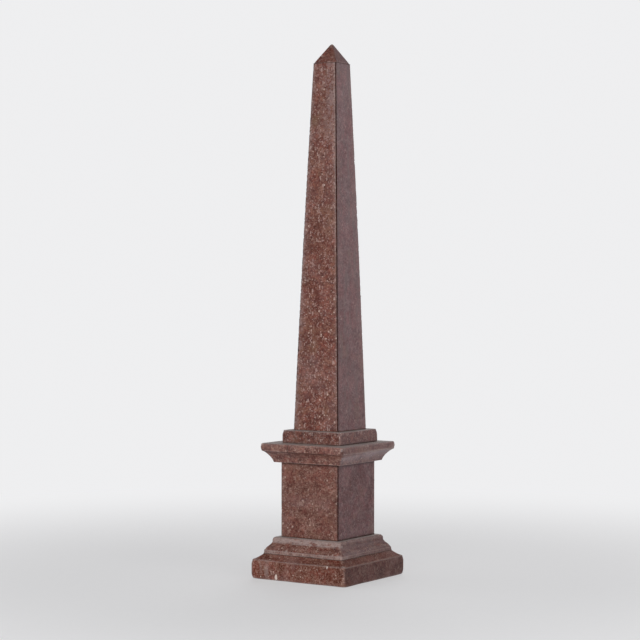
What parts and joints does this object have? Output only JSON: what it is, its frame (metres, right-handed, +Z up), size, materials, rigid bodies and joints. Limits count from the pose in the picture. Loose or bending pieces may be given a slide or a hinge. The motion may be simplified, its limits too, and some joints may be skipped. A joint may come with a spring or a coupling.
{
  "type": "table obelisk",
  "caption": "Table obelisk of red porphyry: a tapering square shaft with a small pyramid tip, on a moulded square pedestal.",
  "frame": {"origin": "centre of the plinth's flat underside, on the surface that the obelisk stands on", "axes": "+Z up along the shaft; the front face looks along -Y and the right face along +X"},
  "size_m": [0.1246, 0.1246, 0.5974],
  "materials": {
    "porphyry": "polished dark red porphyry with small pale pink feldspar crystals",
    "core_stone": "sawn common grey stone, hidden behind the facing",
    "mastic": "dark filled mastic, matt"
  },
  "bodies": {
    "root": {"plinth": "porphyry", "base_moulding": "porphyry", "cornice": "porphyry", "shaft_step": "porphyry", "pyramidion": "porphyry", "die_slab_front": "porphyry", "die_slab_right": "porphyry", "die_slab_back": "porphyry", "die_slab_left": "porphyry", "shaft_slab_front": "porphyry", "shaft_slab_right": "porphyry", "shaft_slab_back": "porphyry", "shaft_slab_left": "porphyry", "die_core": "core_stone", "shaft_core": "core_stone", "die_corner_seams": "mastic", "shaft_corner_seams": "mastic", "bed_under_base_moulding": "mastic", "bed_under_die": "mastic", "bed_under_cornice": "mastic", "bed_under_step": "mastic", "bed_under_shaft": "mastic", "bed_under_pyramidion": "mastic"}
  },
  "joints": []
}
